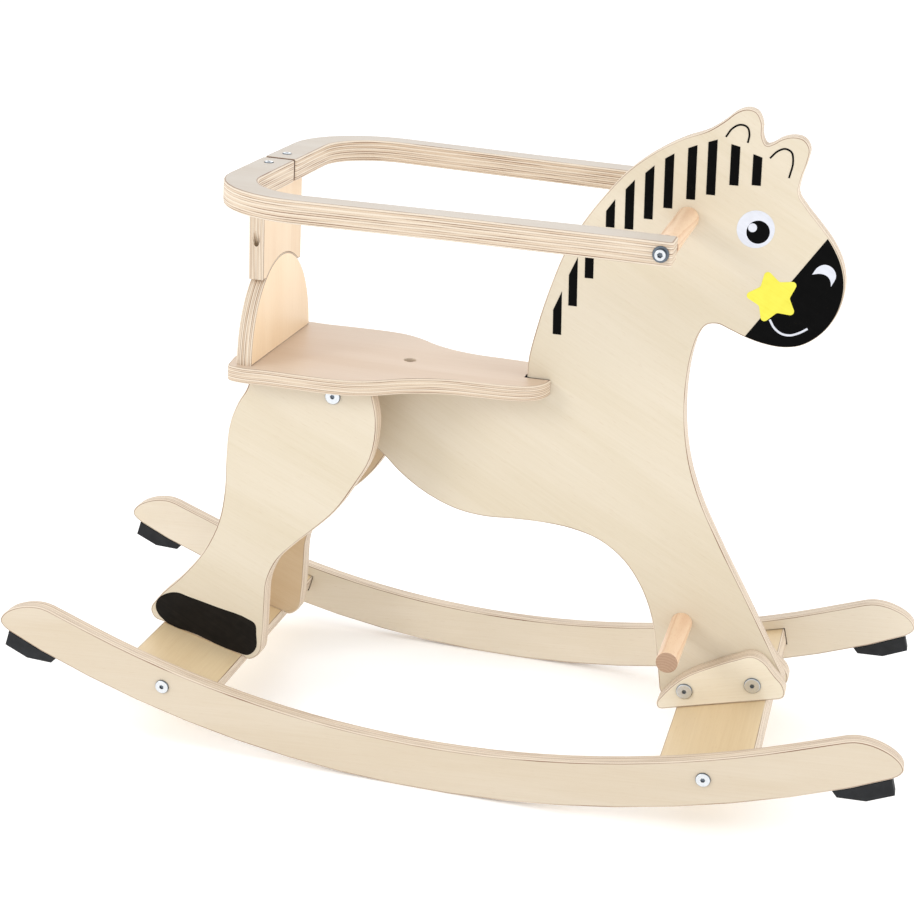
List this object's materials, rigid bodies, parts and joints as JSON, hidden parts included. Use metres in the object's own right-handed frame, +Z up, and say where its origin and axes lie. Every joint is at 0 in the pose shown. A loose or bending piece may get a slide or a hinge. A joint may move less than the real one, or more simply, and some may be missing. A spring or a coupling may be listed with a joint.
{
  "type": "rocking horse",
  "caption": "Plywood rocking horse: flat horse-shaped body with printed face, seat inside a waist-height rail ring, handlebar, footrest and curved rockers with stoppers.",
  "frame": {"origin": "middle of the footprint, on the line where the two rockers touch the floor, with the horse standing level", "axes": "+X forward, from the backrest to the horse's nose; +Y to the horse's left; +Z up"},
  "size_m": [0.76, 0.3052, 0.5526],
  "materials": {
    "plywood": "satin clear varnish on pale birch plywood, ply lines showing on every edge",
    "warm_plywood": "satin clear varnish on slightly darker plywood",
    "dowel_wood": "satin clear varnish on turned hardwood",
    "stopper_rubber": "matt charcoal",
    "zinc_steel": "bright zinc",
    "black_print": "satin black ink printed on the wood",
    "white_print": "satin white ink printed on the wood",
    "yellow_print": "satin yellow ink printed on the wood"
  },
  "bodies": {
    "root": {"body_panel": "plywood", "seat_board": "warm_plywood", "backrest_arch": "warm_plywood", "backrest_post": "warm_plywood", "rail_right": "plywood", "rail_left": "plywood", "handlebar": "dowel_wood", "footrest": "dowel_wood", "hind_leg_right": "plywood", "hind_leg_left": "plywood", "hip_block_right": "warm_plywood", "hip_block_left": "warm_plywood", "rocker_right": "plywood", "rocker_left": "plywood", "rear_crossboard": "warm_plywood", "front_crossboard": "warm_plywood", "front_bracket_right": "plywood", "front_bracket_left": "plywood", "stopper_rear_right": "stopper_rubber", "stopper_rear_left": "stopper_rubber", "stopper_front_right": "stopper_rubber", "stopper_front_left": "stopper_rubber", "rocker_bolts": "zinc_steel", "rocker_barrel_nuts": "zinc_steel", "bracket_bolts": "zinc_steel", "bracket_sleeve_nuts": "zinc_steel", "hip_bolts": "zinc_steel", "rail_bolts": "zinc_steel", "rail_washers": "zinc_steel", "rail_screws": "zinc_steel", "pocket_screws": "zinc_steel", "seat_screw": "zinc_steel", "arch_screws": "zinc_steel", "leg_screws": "zinc_steel", "stopper_screws": "zinc_steel", "ink_black_right": "black_print", "ink_black_left": "black_print", "ink_white_right": "white_print", "ink_white_left": "white_print", "star_right": "yellow_print", "star_left": "yellow_print", "hoof_right": "black_print", "hoof_left": "black_print"}
  },
  "joints": []
}
